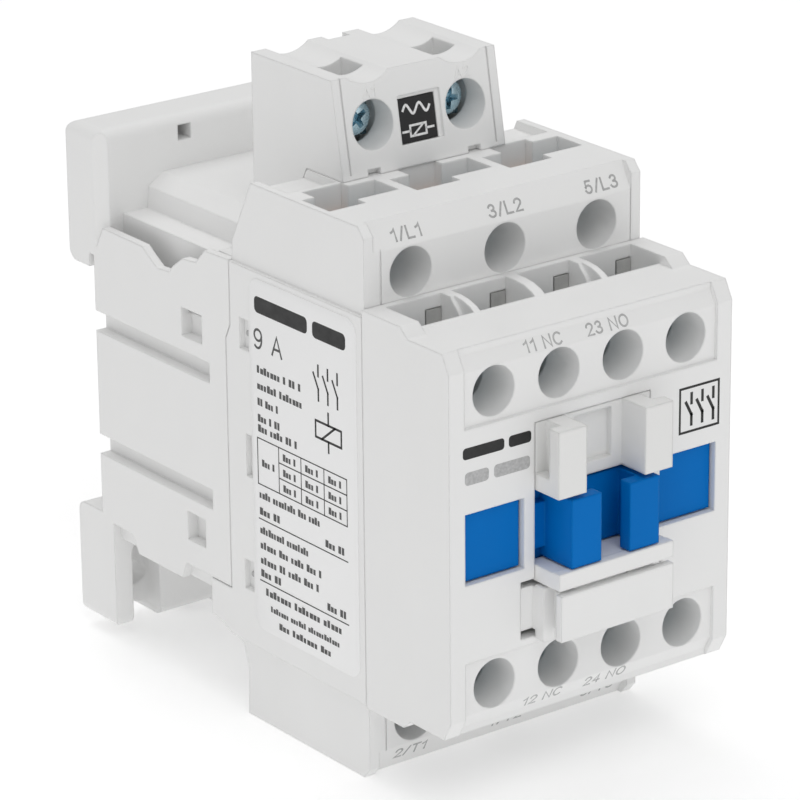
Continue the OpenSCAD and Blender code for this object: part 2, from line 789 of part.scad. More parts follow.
module guide_hooks() color(hook_colour) difference() {
  union() {
    blk([-9.1, 9.1], [frame_y + 0.1, inner_y - 0.1], [4.5, 13.3]);
    left_right()
      blk([4.7, 9.1], [hook_front_y, frame_y + 0.2], [4.5, 13.3]);
  }
  blk([-3, 3], [frame_y - 1, inner_y - 0.7], [6.1, 12.6]);
  left_right()
    blk([7.4, 10], [hook_front_y + 1.9, frame_y], [6.7, 14]);
}

module guide_shelf() color(body_colour) {
  blk([-9.15, 9.15], [-81.6, inner_y - 0.1], [-7.5, -5.4]);
  blk([-9.15, 9.15], [-81.6, -80.2], [-7.5, -5.3]);
}

latch_y = [-81.8, -80.7];

module block_latch() color(body_colour) {
  blk([-9, 9], latch_y, [-14.3, -8.2]);
  left_right() {
    blk([5.4, 7.6], [latch_y[1] - 0.1, -77.1], [-13.6, -8.6]);
    blk([5.4, 9.4], [-78.7, -77.1], [-13.6, -8.6]);
    blk([7.5, 9.4], [-78.7, -77.1], [-15.1, -7.9]);
    blk([7.5, 9.4], [-77.2, -74.8], [-13.9, -8.2]);
    blk([9.3, 11.3], [frame_y + 0.3, -74.8], [-13.9, -8.2]);
  }
  // retaining bar behind the front wall
  blk([-12.4, 12.4], [-74.9, -74], [-13.9, -8.2]);
}

module rating_label() color([0.96, 0.96, 0.96])
  yz_rounded([-58.3, -35.8], [-23.8, 24.3], 2, [-hw - 0.12, -hw]);

// ---------- Auxiliary contacts ----------
aux_tip_h = 0.5;
aux_tip_d = 2.4;
aux_tip_z = 7.4;
aux_arm_w = 1.6;
aux_arm_z = 5.8;
aux_bridge_h = 8.6;
aux_clamp_y = [-67.6, -66.9];
aux_screw_y = -69.6;
aux_tab_z = aux_lip_z - 0.7;

// The break contact closes towards the front, against a strip in front of its bridge
aux_break_strip_y = [-71.8, -71];
aux_break_y = aux_break_strip_y[1] + aux_tip_h;
nc_tip_y = aux_break_y + 0.05;
nc_bridge_y = [nc_tip_y + aux_tip_h, nc_tip_y + aux_tip_h + aux_bridge_t];

// The make contact closes towards the rear
no_bridge_y = [-69.6, -69.6 + aux_bridge_t];
no_tip_y = no_bridge_y[1] + aux_tip_h;
aux_make_y = no_tip_y + contact_gap + 0.1;

// Strip behind the clamp, with a tab in the pocket's rear wall
module aux_plate(x) difference() {
  union() {
    blk([x - 3.3, x + 3.3], aux_strip_y, [aux_floor_z + 0.2, aux_tab_z]);
    blk([x + 1.9, x + 4.2], [aux_strip_y[0], -59.8], [aux_tab_z - 0.8, aux_tab_z]);
    blk([x + 1.9, x + 4.2], [-60.6, -59.8], [aux_tab_z - 0.8, aux_lip_z + 1.4]);
  }
  rod_y(x, through, aux_screw_z, small_bore_d);
}

module aux_terminal(x, makes) color(brass_colour) {
  arm_x = [x - aux_arm_w, x + aux_arm_w];
  aux_plate(x);
  if (makes) {
    blk(arm_x, aux_strip_y, [aux_arm_z, aux_floor_z + 0.3]);
    rod_y(x, [aux_make_y - 0.05, aux_strip_y[0] + 0.1], aux_tip_z, aux_tip_d);
  } else {
    blk(arm_x, aux_strip_y, [9.2, aux_floor_z + 0.3]);
    blk(arm_x, [aux_break_strip_y[0], aux_strip_y[1]], [9.2, 10]);
    blk(arm_x, aux_break_strip_y, [aux_arm_z, 10]);
    rod_y(x, [aux_break_strip_y[1] - 0.1, aux_break_y], aux_tip_z, aux_tip_d);
  }
}

module aux_bridge(x, bridge_y, tips_y) color(copper_colour) translate([0, 0, mid_z]) {
  blk([x - 1.5, x + 1.5], bridge_y, [-aux_bridge_h, aux_bridge_h]);
  for (z = [-aux_tip_z, aux_tip_z])
    rod_y(x, tips_y, z, aux_tip_d);
}

module aux_bridge_no() aux_bridge(aux_x[2], no_bridge_y, [no_bridge_y[1] - 0.1, no_tip_y]);

module aux_bridge_nc() aux_bridge(aux_x[1], nc_bridge_y, [nc_tip_y, nc_bridge_y[0] + 0.1]);

module aux_spring_no() color(steel_colour)
  spring_y(aux_x[2], [aux_window_y[0] + 0.05, no_bridge_y[0] - 0.05], mid_z, 2.8, 0.3, 4);

module aux_spring_nc() color(steel_colour)
  spring_y(aux_x[1], [nc_bridge_y[1] + 0.05, aux_window_y[1] - 0.05], mid_z, 2.8, 0.3, 5);

module spare_terminals() color(brass_colour) both_rows()
  for (x = [aux_x[0], aux_x[3]])
    aux_plate(x);

module aux_clamps() color(zinc_colour) both_rows()
  for (x = aux_x)
    difference() {
      blk([x - 3.1, x + 3.1], aux_clamp_y, [aux_screw_z - 3.2, aux_screw_z + 3.2]);
      rod_y(x, through, aux_screw_z, small_bore_d);
    }

module aux_screws() color(zinc_colour) both_rows()
  for (x = aux_x)
    screw_y(x, aux_screw_y, aux_screw_z, 5.4, aux_clamp_y[0] - aux_screw_y, 3, 6.4);

base_housing();
contact_housing();
front_housing();
coil_terminal_block();
guide_hooks();
guide_shelf();
block_latch();
rating_label();
coil_plate();
contact_carrier();
armature();
armature_pin();
return_springs();
fixed_core();
shading_rings();
core_cushion();
coil_bobbin();
coil_winding();
coil_terminal(-1);  // coil_terminal_a1
coil_terminal(1);  // coil_terminal_a2
coil_clamps();
coil_screws();
top_row() fixed_contact(0);  // fixed_contact_l1
top_row() fixed_contact(1);  // fixed_contact_l2
top_row() fixed_contact(2);  // fixed_contact_l3
bottom_row() fixed_contact(0);  // fixed_contact_t1
bottom_row() fixed_contact(1);  // fixed_contact_t2
bottom_row() fixed_contact(2);  // fixed_contact_t3
top_row() power_clamps();  // line_clamps
bottom_row() power_clamps();  // load_clamps
top_row() power_screws();  // line_screws
bottom_row() power_screws();  // load_screws
power_bridge(0);  // power_bridge_1
power_bridge(1);  // power_bridge_2
power_bridge(2);  // power_bridge_3
power_spring(0);  // power_spring_1
power_spring(1);  // power_spring_2
power_spring(2);  // power_spring_3
top_row() aux_terminal(aux_x[1], false);  // aux_terminal_11
bottom_row() aux_terminal(aux_x[1], false);  // aux_terminal_12
top_row() aux_terminal(aux_x[2], true);  // aux_terminal_23
bottom_row() aux_terminal(aux_x[2], true);  // aux_terminal_24
spare_terminals();
aux_clamps();
aux_screws();
aux_bridge_nc();
aux_bridge_no();
aux_spring_nc();
aux_spring_no();
din_clip();
clip_spring();
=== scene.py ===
import math

import bmesh
import bpy
from mathutils import Matrix, Vector


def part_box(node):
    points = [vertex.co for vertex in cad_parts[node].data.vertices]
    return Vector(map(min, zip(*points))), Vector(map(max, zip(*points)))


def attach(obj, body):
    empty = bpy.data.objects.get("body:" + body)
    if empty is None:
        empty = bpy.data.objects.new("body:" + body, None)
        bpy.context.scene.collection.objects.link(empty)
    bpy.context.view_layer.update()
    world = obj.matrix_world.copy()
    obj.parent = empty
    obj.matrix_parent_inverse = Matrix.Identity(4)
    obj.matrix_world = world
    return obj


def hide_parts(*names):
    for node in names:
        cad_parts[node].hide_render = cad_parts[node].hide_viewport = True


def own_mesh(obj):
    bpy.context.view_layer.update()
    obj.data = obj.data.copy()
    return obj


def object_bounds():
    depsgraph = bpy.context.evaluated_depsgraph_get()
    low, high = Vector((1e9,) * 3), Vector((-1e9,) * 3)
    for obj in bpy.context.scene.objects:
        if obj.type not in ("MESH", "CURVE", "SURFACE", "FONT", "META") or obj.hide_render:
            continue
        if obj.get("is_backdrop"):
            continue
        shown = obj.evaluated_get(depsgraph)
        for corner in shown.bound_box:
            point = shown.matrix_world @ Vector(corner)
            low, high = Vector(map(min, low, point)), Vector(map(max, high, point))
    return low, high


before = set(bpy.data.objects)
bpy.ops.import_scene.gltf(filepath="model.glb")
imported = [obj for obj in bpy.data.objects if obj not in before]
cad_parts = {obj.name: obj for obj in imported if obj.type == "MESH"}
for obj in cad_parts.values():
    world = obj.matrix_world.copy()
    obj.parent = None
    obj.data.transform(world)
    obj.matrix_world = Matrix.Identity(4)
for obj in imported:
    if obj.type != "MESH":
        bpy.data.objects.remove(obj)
cad_low, cad_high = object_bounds()

MM = 0.001
RIGHT = Vector((1, 0, 0))
REAR = Vector((0, 1, 0))
UP = Vector((0, 0, 1))

NOISE_LOW = 0.25
NOISE_HIGH = 0.75
BEVEL_SAMPLES = 6
# An edge gets the full painted highlight where its rounded normal is this far from the face's, as a cosine
HIGHLIGHT_COSINE = 0.75
# How much lighter the painted highlight makes an edge of plastic
HIGHLIGHT_TONE = 1.13


# ---------- Shader node helpers ----------
def new_material(name):
    """A material with its node tree and its principled shader."""
    material = bpy.data.materials.new(name)
    material.use_nodes = True
    return material, material.node_tree, material.node_tree.nodes["Principled BSDF"]


def noise(tree, scale, detail=2.0, stretch=(1, 1, 1)):
    """Noise over the piece's own coordinates, with scale in cycles per metre."""
    place = tree.nodes.new("ShaderNodeTexCoord")
    mapping = tree.nodes.new("ShaderNodeMapping")
    mapping.inputs["Scale"].default_value = stretch
    texture = tree.nodes.new("ShaderNodeTexNoise")
    texture.inputs["Scale"].default_value = scale
    texture.inputs["Detail"].default_value = detail
    tree.links.new(place.outputs["Object"], mapping.inputs["Vector"])
    tree.links.new(mapping.outputs["Vector"], texture.inputs["Vector"])
    return texture.outputs["Fac"]


def spread(tree, value, low, high):
    """A noise value, which keeps near its middle, mapped to the range from low to high."""
    node = tree.nodes.new("ShaderNodeMapRange")
    node.inputs["From Min"].default_value = NOISE_LOW
    node.inputs["From Max"].default_value = NOISE_HIGH
    node.inputs["To Min"].default_value = low
    node.inputs["To Max"].default_value = high
    tree.links.new(value, node.inputs["Value"])
    return node.outputs["Result"]


def between(tree, value, first, second):
    """A colour that goes from first to second with value. first may be a colour or another node's output."""
    node = tree.nodes.new("ShaderNodeMix")
    node.data_type = "RGBA"
    factor, near, far = node.inputs[0], node.inputs[6], node.inputs[7]
    if isinstance(first, tuple):
        near.default_value = (*first, 1)
    else:
        tree.links.new(first, near)
    far.default_value = (*second, 1)
    tree.links.new(value, factor)
    return node.outputs[2]


def rounded_normal(tree, radius):
    """The surface's normal as if its edges had this radius, and how much painted highlight an edge gets, from 0
    to 1.
    """
    rounded = tree.nodes.new("ShaderNodeBevel")
    rounded.samples = BEVEL_SAMPLES
    rounded.inputs["Radius"].default_value = radius
    surface = tree.nodes.new("ShaderNodeNewGeometry")
    match = tree.nodes.new("ShaderNodeVectorMath")
    match.operation = "DOT_PRODUCT"
    tree.links.new(rounded.outputs["Normal"], match.inputs[0])
    tree.links.new(surface.outputs["Normal"], match.inputs[1])
    painted_highlight = tree.nodes.new("ShaderNodeMapRange")
    painted_highlight.inputs["From Min"].default_value = 1.0
    painted_highlight.inputs["From Max"].default_value = HIGHLIGHT_COSINE
    tree.links.new(match.outputs["Value"], painted_highlight.inputs["Value"])
    return rounded.outputs["Normal"], painted_highlight.outputs["Result"]


def bump(tree, height, depth, shader, normal=None):
    """Gives the shader a relief this deep, on top of a normal if one is given."""
    node = tree.nodes.new("ShaderNodeBump")
    node.inputs["Distance"].default_value = depth
    tree.links.new(height, node.inputs["Height"])
    if normal:
        tree.links.new(normal, node.inputs["Normal"])
    tree.links.new(node.outputs["Normal"], shader.inputs["Normal"])


def shade(colour, factor):
    """A colour made lighter or darker by a factor."""
    return tuple(min(1.0, c * factor) for c in colour)


# ---------- Materials ----------
def moulded_plastic(name, colour, roughness, variation=0.03, grain=0.012 * MM, gloss=0.4, edge=0.3 * MM):
    """Moulded thermoplastic: faint flow mottling, a fine eroded grain, uneven gloss and soft edges lightened by a
    painted highlight.
    """
    material, tree, shader = new_material(name)
    normal, painted_highlight = rounded_normal(tree, edge)
    flow = spread(tree, noise(tree, 70, 3, (1, 1, 0.4)), 0, 1)
    mottled = between(tree, flow, shade(colour, 1 - variation), shade(colour, 1 + variation))
    # The edges are made lighter here as a painted highlight
    tree.links.new(between(tree, painted_highlight, mottled, shade(colour, HIGHLIGHT_TONE)), shader.inputs["Base Color"])
    sheen = spread(tree, noise(tree, 240, 2), roughness - 0.05, roughness + 0.05)
    tree.links.new(sheen, shader.inputs["Roughness"])
    bump(tree, noise(tree, 3200, 3), grain, shader, normal)
    shader.inputs["Specular IOR Level"].default_value = gloss
    return material


def printed_ink(name, colour, roughness=0.55):
    """Pad-printed ink with a slightly uneven cover."""
    material, tree, shader = new_material(name)
    cover = spread(tree, noise(tree, 2600, 2), 0, 1)
    tree.links.new(between(tree, cover, shade(colour, 0.85), shade(colour, 1.2)), shader.inputs["Base Color"])
    gloss = spread(tree, noise(tree, 900, 2), roughness - 0.08, roughness + 0.08)
    tree.links.new(gloss, shader.inputs["Roughness"])
    return material


def metal(name, colour, roughness, stretch=(1, 1, 1), tint=None, grain=0.004 * MM, edge=0.08 * MM):
    """Plated or bare metal with fine drawing marks along the stretched direction."""
    material, tree, shader = new_material(name)
    normal = rounded_normal(tree, edge)[0]
    shader.inputs["Metallic"].default_value = 1.0
    patch = spread(tree, noise(tree, 420, 3), 0, 1)
    second = tint if tint else shade(colour, 0.82)
    tree.links.new(between(tree, patch, colour, second), shader.inputs["Base Color"])
    marks = noise(tree, 2600, 3, stretch)
    tree.links.new(spread(tree, marks, roughness - 0.07, roughness + 0.1), shader.inputs["Roughness"])
    bump(tree, marks, grain, shader, normal)
    return material


def rubber(name, colour):
    """Matt rubber with a pale bloom and a coarse grain."""
    material, tree, shader = new_material(name)
    bloom = spread(tree, noise(tree, 500, 4), 0, 1)
    tree.links.new(between(tree, bloom, colour, shade(colour, 2.2)), shader.inputs["Base Color"])
    shader.inputs["Roughness"].default_value = 0.8
    bump(tree, noise(tree, 2400, 4), 0.02 * MM, shader, rounded_normal(tree, 0.3 * MM)[0])
    return material


def laminated_steel(name, colour, sheet=0.5 * MM):
    """Stacked sheets: thin dark lines across the stack's Z direction."""
    material, tree, shader = new_material(name)
    shader.inputs["Metallic"].default_value = 1.0
    place = tree.nodes.new("ShaderNodeTexCoord")
    lines = tree.nodes.new("ShaderNodeTexWave")
    lines.bands_direction = "Z"
    lines.wave_profile = "SAW"
    # the wave's own period is pi / 10 of a unit at scale 1
    lines.inputs["Scale"].default_value = math.pi / 10 / sheet
    tree.links.new(place.outputs["Object"], lines.inputs["Vector"])
    tree.links.new(between(tree, lines.outputs["Fac"], shade(colour, 0.55), colour), shader.inputs["Base Color"])
    tree.links.new(spread(tree, noise(tree, 700, 3), 0.32, 0.5), shader.inputs["Roughness"])
    bump(tree, lines.outputs["Fac"], 0.03 * MM, shader)
    return material


HOUSING_GREY = (0.86, 0.86, 0.855)
HOOK_WHITE = (0.81, 0.81, 0.8)
CARRIER_BLUE = (0.0, 0.155, 0.52)
PLATE_BLACK = (0.012, 0.012, 0.013)
LABEL_WHITE = (0.9, 0.9, 0.9)

FINISH = {
    "housing_plastic": moulded_plastic("moulded_housing", HOUSING_GREY, 0.52, variation=0.012, edge=0.4 * MM),
    "hook_plastic": moulded_plastic("moulded_hooks", HOOK_WHITE, 0.45, variation=0.012, edge=0.5 * MM),
    "blue_plastic": moulded_plastic(
        "moulded_blue", CARRIER_BLUE, 0.42, variation=0.06, gloss=0.06, edge=0.45 * MM
    ),
    "black_plastic": moulded_plastic("moulded_black", PLATE_BLACK, 0.4, variation=0.2, edge=0.1 * MM),
    "label_film": moulded_plastic(
        "label_sheet", LABEL_WHITE, 0.38, variation=0.006, grain=0.003 * MM, edge=0.05 * MM
    ),
    "black_rubber": rubber("cushion_rubber", (0.02, 0.02, 0.02)),
    "lamination_steel": laminated_steel("magnet_sheets", (0.42, 0.42, 0.44)),
    "spring_steel": metal("spring_wire", (0.5, 0.5, 0.52), 0.3),
    "zinc_steel": metal("blue_zinc", (0.6, 0.74, 0.8), 0.26, tint=(0.42, 0.62, 0.72)),
    "copper_alloy": metal("contact_copper", (0.78, 0.42, 0.25), 0.34),
    "brass_strip": metal("tinned_strip", (0.74, 0.74, 0.73), 0.5, stretch=(1, 1, 0.1)),
    "enamelled_copper": metal("winding_wire", (0.62, 0.25, 0.09), 0.3),
}
black_ink = printed_ink("ink_black", (0.012, 0.012, 0.012))
text_ink = printed_ink("ink_text", (0.07, 0.07, 0.07))
legend_ink = printed_ink("ink_legend", (0.41, 0.41, 0.41))
# Pale grey ink: print for the aux legends and the lower front mark, and painted shadow on the window nubs
pale_ink_and_shade = printed_ink("ink_pale_and_shade", (0.45, 0.45, 0.45))
white_ink = printed_ink("ink_white", (0.8, 0.8, 0.8))

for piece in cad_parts.values():
    slot = piece.material_slots[0].material.name.split(".")[0]
    piece.material_slots[0].material = FINISH[slot]


# ---------- Building pieces ----------
SHARP_ANGLE = math.radians(35)
LATHE_SIDES = 40


def node_box(node):
    """The corners of a CAD node's box."""
    low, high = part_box(node)
    return Vector(low), Vector(high)


def add_piece(name, shape, material, body, stands_for=(), smooth=True):
    """Turns a bmesh in the row frame into a piece that rides on a body."""
    mesh = bpy.data.meshes.new(name)
    bmesh.ops.recalc_face_normals(shape, faces=shape.faces)
    for face in shape.faces:
        face.smooth = smooth
    shape.to_mesh(mesh)
    shape.free()
    mesh.materials.append(material)
    piece = bpy.data.objects.new(name, mesh)
    bpy.context.scene.collection.objects.link(piece)
    if smooth:
        sharpen = bmesh.new()
        sharpen.from_mesh(mesh)
        for edge in sharpen.edges:
            edge.smooth = edge.calc_face_angle(math.pi) < SHARP_ANGLE
        sharpen.to_mesh(mesh)
        sharpen.free()
    if stands_for:
        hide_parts(*stands_for)
    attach(piece, body)
    return piece


def add_print(name, shape, material):
    """Flat-shaded print that rides on the housing."""
    add_piece(name, shape, material, "housing", smooth=False)


def join_rings(shape, rings, closed_ends=True):
    """Skins a list of rings of vertices that all have the same number of points."""
    for first, second in zip(rings, rings[1:]):
        for i in range(len(first)):
            j = (i + 1) % len(first)
            shape.faces.new((first[i], first[j], second[j], second[i]))
    if closed_ends:
        shape.faces.new(rings[0][::-1])
        shape.faces.new(rings[-1])


def lathe(shape, profile):
    """A turned solid along +Y. profile lists (depth, radius) in metres."""
    rings = []
    for depth, radius in profile:
        ring = []
        for i in range(LATHE_SIDES):
            turn = 2 * math.pi * i / LATHE_SIDES
            ring.append(shape.verts.new((radius * math.cos(turn), depth, radius * math.sin(turn))))
        rings.append(ring)
    join_rings(shape, rings)


# ---------- Screws ----------
# The pan head's outline, as shares of its height and radius from its front face
HEAD_PROFILE = ((0.0, 0.5), (0.03, 0.7), (0.1, 0.87), (0.22, 0.96), (0.38, 1.0), (0.94, 1.0), (1.0, 0.97))
THREAD_DEPTH = 0.4
# The cross recess, as shares of the head's diameter and height
RECESS_WIDTH = 0.17
RECESS_LENGTH = 0.62
RECESS_DEPTH = 0.6
RECESS_ARM_TIP = 0.8
# How far the recess cutter starts in front of the head, and its size there and at the bottom
CUTTER_LEAD = 0.2 * MM
CUTTER_TAPER = (1.1, 0.55)
FIRST_SCREW_TURN = 12
NEXT_SCREW_TURN = 37


def cross_outline(width, length):
    """Corners of a plus sign with tapered arms, as (x, z)."""
    points = []
    for quarter in range(4):
        turn = math.radians(90 * quarter + 45)
        along = Vector((math.cos(turn), math.sin(turn)))
        across = Vector((-along.y, along.x))
        points.append(along * width / 2 - across * width / 2)
        points.append(along * length / 2 - across * width * RECESS_ARM_TIP / 2)
        points.append(along * length / 2 + across * width * RECESS_ARM_TIP / 2)
    return points


def screw_shape(head_d, head_h, shank_d, shank_l, pitch):
    """One pan-head screw at the origin with its head's front at y = 0, as a mesh."""
    crest = shank_d / 2
    root = crest - pitch * THREAD_DEPTH
    profile = [(head_h * rise, head_d / 2 * share) for rise, share in HEAD_PROFILE] + [(head_h, crest)]
    for i in range(int(shank_l / pitch) - 1):
        start = head_h + pitch * (i + 0.3)
        profile += [(start, root), (start + pitch * 0.45, crest), (start + pitch * 0.55, crest)]
    profile += [(head_h + shank_l - shank_d * 0.2, root), (head_h + shank_l, shank_d * 0.28)]
    body = bmesh.new()
    lathe(body, profile)
    cutter = bmesh.new()
    rings = []
    for depth, share in zip((-CUTTER_LEAD, head_h * RECESS_DEPTH), CUTTER_TAPER):
        outline = cross_outline(head_d * RECESS_WIDTH * share ** 0.5, head_d * RECESS_LENGTH * share)
        rings.append([cutter.verts.new((point.x, depth, point.y)) for point in outline])
    join_rings(cutter, rings)

    pieces = []
    for part in (body, cutter):
        bmesh.ops.recalc_face_normals(part, faces=part.faces)
        mesh = bpy.data.meshes.new("screw_stage")
        part.to_mesh(mesh)
        part.free()
        piece = bpy.data.objects.new("screw_stage", mesh)
        bpy.context.scene.collection.objects.link(piece)
        pieces.append(piece)
    cut = pieces[0].modifiers.new("recess", "BOOLEAN")
    cut.object = pieces[1]
    cut.operation = "DIFFERENCE"
    cut.solver = "EXACT"
    cut_mesh = bpy.data.meshes.new_from_object(pieces[0].evaluated_get(bpy.context.evaluated_depsgraph_get()))
    for piece in pieces:
        bpy.data.objects.remove(piece)
    return cut_mesh


def add_screws(node, head_d, head_h, shank_d, pitch, places):
    """Screws as long as their CAD node's box, at places in (x, z), each turned differently."""
    low, high = node_box(node)
    one = screw_shape(head_d, head_h, shank_d, high.y - low.y - head_h, pitch)
    shape = bmesh.new()
    for i, (x, z) in enumerate(places):
        start = len(shape.verts)
        shape.from_mesh(one)
        shape.verts.ensure_lookup_table()
        turn = math.radians(NEXT_SCREW_TURN * i + FIRST_SCREW_TURN)
        place = Matrix.Translation((x, low.y, z)) @ Matrix.Rotation(turn, 4, "Y")
        bmesh.ops.transform(shape, matrix=place, verts=shape.verts[start:])
    add_piece(node + "_driven", shape, FINISH["zinc_steel"], "housing", [node])


# ---------- Springs ----------
WIRE_STEPS = 20
WIRE_SIDES = 8
END_TURNS = 0.9


def coil_spring(shape, centre, axis, length, radius, wire, turns):
    """Helical wire with closed end turns. centre is the middle of the end turn's foot, axis a unit vector."""
    side = axis.orthogonal().normalized()
    third = axis.cross(side)
    total = turns + 2 * END_TURNS
    travel = length - wire * (1 + 2 * END_TURNS)
    rings = []
    count = int(total * WIRE_STEPS)
    for i in range(count + 1):
        turn = total * i / count
        tight = min(turn, END_TURNS) + max(0.0, turn - END_TURNS - turns)
        rise = wire / 2 + wire * tight + travel * min(max(turn - END_TURNS, 0.0), turns) / turns
        outward = side * math.cos(2 * math.pi * turn) + third * math.sin(2 * math.pi * turn)
        middle = centre + axis * rise + outward * radius
        ring = []
        for k in range(WIRE_SIDES):
            angle = 2 * math.pi * k / WIRE_SIDES
            ring.append(shape.verts.new(middle + (outward * math.cos(angle) + axis * math.sin(angle)) * wire / 2))
        rings.append(ring)
    join_rings(shape, rings)


def add_springs(node, body, springs, joint=None):
    """Wire springs in place of a CAD node. Where a joint is given, the piece gets a mesh of its own."""
    shape = bmesh.new()
    for spring in springs:
        coil_spring(shape, *spring)
    piece = add_piece(node + "_wire", shape, FINISH["spring_steel"], body, [node])
    if joint:
        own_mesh(piece)


def spring_from_box(node, axis, wire, turns):
    """The values of one spring that fills its CAD node's box along an axis."""
    low, high = node_box(node)
    middle = (low + high) / 2
    length = (high - low).dot(axis)
    width = (high - low).x
    return (middle - axis * length / 2, axis, length, (width - wire) / 2, wire, turns)


# ---------- Mechanism ----------
MID_Z = -0.5 * MM
POLE_PITCH = 14.8 * MM
AUX_PITCH = 10.18 * MM
COIL_PITCH = 14.72 * MM
POWER_SCREW_Z = 29.9 * MM
AUX_SCREW_Z = 19.3 * MM
COIL_SCREW_Z = 42.7 * MM
poles = [POLE_PITCH * i for i in (-1, 0, 1)]
aux_places = [AUX_PITCH * i for i in (-1.5, -0.5, 0.5, 1.5)]

for node, side in (("line_screws", 1), ("load_screws", -1)):
    add_screws(
        node, 5.9 * MM, 2.7 * MM, 3.5 * MM, 0.6 * MM, [(x, MID_Z + side * POWER_SCREW_Z) for x in poles]
    )
add_screws(
    "aux_screws", 5.4 * MM, 2.0 * MM, 3.0 * MM, 0.5 * MM,
    [(x, MID_Z + side * AUX_SCREW_Z) for side in (1, -1) for x in aux_places],
)
add_screws(
    "coil_screws", 4.9 * MM, 2.1 * MM, 3.0 * MM, 0.5 * MM, [(s * COIL_PITCH / 2, COIL_SCREW_Z) for s in (-1, 1)]
)


RETURN_SPRING_WIDTH = 5.2 * MM
RETURN_WIRE = 0.6 * MM
low, high = node_box("return_springs")
return_springs = [
    (Vector((0, low.y, z)), REAR, high.y - low.y, (RETURN_SPRING_WIDTH - RETURN_WIRE) / 2, RETURN_WIRE, 6)
    for z in (low.z + RETURN_SPRING_WIDTH / 2, high.z - RETURN_SPRING_WIDTH / 2)
]
add_springs(
    "return_springs", "housing", return_springs, "carrier_stroke",
)
for pole in (1, 2, 3):
    node = f"power_spring_{pole}"
    add_springs(
        node, "carrier", [spring_from_box(node, REAR, 0.5 * MM, 5)], f"power_lag_{pole}",
    )
add_springs(
    "aux_spring_no", "carrier", [spring_from_box("aux_spring_no", REAR, 0.3 * MM, 3)], "aux_lag_no",
)
add_springs("aux_spring_nc", "carrier", [spring_from_box("aux_spring_nc", REAR, 0.3 * MM, 4)])
add_springs(
    "clip_spring", "housing", [spring_from_box("clip_spring", UP, 0.45 * MM, 5)], "clip_pull",
)


def rounded_outline(half_u, half_v, radius, steps=6):
    """Points of a rounded rectangle about (0, 0)."""
    points = []
    for quarter, (u, v) in enumerate(((1, 1), (-1, 1), (-1, -1), (1, -1))):
        for i in range(steps + 1):
            turn = math.radians(90 * (quarter + i / steps))
            points.append((
                u * (half_u - radius) + radius * math.cos(turn), v * (half_v - radius) + radius * math.sin(turn)
            ))
    return points


WINDING_WIRE = 0.42 * MM
WINDING_CORNER = 3.0 * MM
# Half width, half height and corner radius of the window for the magnet's middle limb
WINDING_WINDOW = (6.2 * MM, 9.0 * MM, 0.3 * MM)
# One turn's outline: how far along its pitch, and how far in from its crest in wire diameters
TURN_OUTLINE = ((0.05, 0.42), (0.25, 0.12), (0.5, 0.0), (0.75, 0.12))


def add_winding(node):
    """The coil's outer layer of turns, around the window."""
    low, high = node_box(node)
    middle = (low + high) / 2
    half_x, half_z = (high.x - low.x) / 2, (high.z - low.z) / 2
    turns = int((high.y - low.y) / WINDING_WIRE)
    pitch = (high.y - low.y) / turns
    sections = [(*WINDING_WINDOW, low.y)]
    for i in range(turns):
        for share, diameters in TURN_OUTLINE:
            inset = WINDING_WIRE * diameters
            sections.append((half_x - inset, half_z - inset, WINDING_CORNER - inset, low.y + pitch * (i + share)))
    sections.append((*WINDING_WINDOW, high.y))
    shape = bmesh.new()
    rings = []
    for half_u, half_v, radius, depth in sections:
        outline = rounded_outline(half_u, half_v, radius)
        rings.append([shape.verts.new((middle.x + u, depth, middle.z + v)) for u, v in outline])
    join_rings(shape, rings + rings[:1], closed_ends=False)
    add_piece(node + "_turns", shape, FINISH["enamelled_copper"], "housing", [node])


add_winding("coil_winding")


# ---------- Print and marks ----------
# Print reaches this far out of its surface, and this far in
INK = 0.012 * MM
# The least cosine a corner is mitred with: sharper ones are cut off rather than drawn out to a point
SHARPEST_MITRE = 0.6
# The gap between words of blocks, in blocks
WORD_GAP = 0.7


class Surface:
    """A flat place on the part: points on it are given in millimetres to the right and up from its origin."""

    def __init__(self, origin, right, up):
        self.origin = Vector(origin) * MM
        self.right = Vector(right).normalized()
        self.up = Vector(up).normalized()
        self.out = self.right.cross(self.up)

    def point(self, u, v, raised=0.0):
        return self.origin + (self.right * u + self.up * v) * MM + self.out * raised


def ink_outline(shape, surface, outline):
    """Solid print inside an outline of (u, v) points."""
    rings = [[shape.verts.new(surface.point(u, v, depth)) for u, v in outline] for depth in (-INK, INK)]
    join_rings(shape, rings)


def ink_path(shape, surface, points, stroke, closed=False, raised=INK):
    """One stroke along a path, mitred at its corners. Open ends are square, half a stroke past the end points."""
    places = [Vector(point) for point in points]
    count = len(places)
    rings = []
    for i, place in enumerate(places):
        before = places[i - 1] if closed or i > 0 else None
        after = places[(i + 1) % count] if closed or i < count - 1 else None
        arriving = (place - before).normalized() if before is not None else (after - place).normalized()
        leaving = (after - place).normalized() if after is not None else arriving
        along = (arriving + leaving).normalized()
        across = Vector((-along.y, along.x))
        reach = stroke / 2 / max(along.dot(leaving), SHARPEST_MITRE)
        if before is None:
            place = place - leaving * stroke / 2
        elif after is None:
            place = place + arriving * stroke / 2
        left, right = place + across * reach, place - across * reach
        rings.append([
            shape.verts.new(surface.point(corner.x, corner.y, depth))
            for corner, depth in ((left, -INK), (right, -INK), (right, raised), (left, raised))
        ])
    if closed:
        rings.append(rings[0])
    join_rings(shape, rings, closed_ends=not closed)


def greeked(shape, surface, u, v, length, height, words):
    """A line of solid blocks that stands for text: words lists the number of blocks in each word."""
    cell = length / (sum(words) + WORD_GAP * (len(words) - 1))
    for count in words:
        for i in range(count):
            # heights and widths change from block to block, as letters' do
            tall = height * (1.0 if count < 3 or (5 * i + count) % 7 in (0, 3) else 0.74)
            wide = cell * (0.86, 0.66, 0.78)[(2 * i + count) % 3]
            ink_outline(shape, surface, [(u, v), (u + wide, v), (u + wide, v + tall), (u, v + tall)])
            u += cell
        u += WORD_GAP * cell


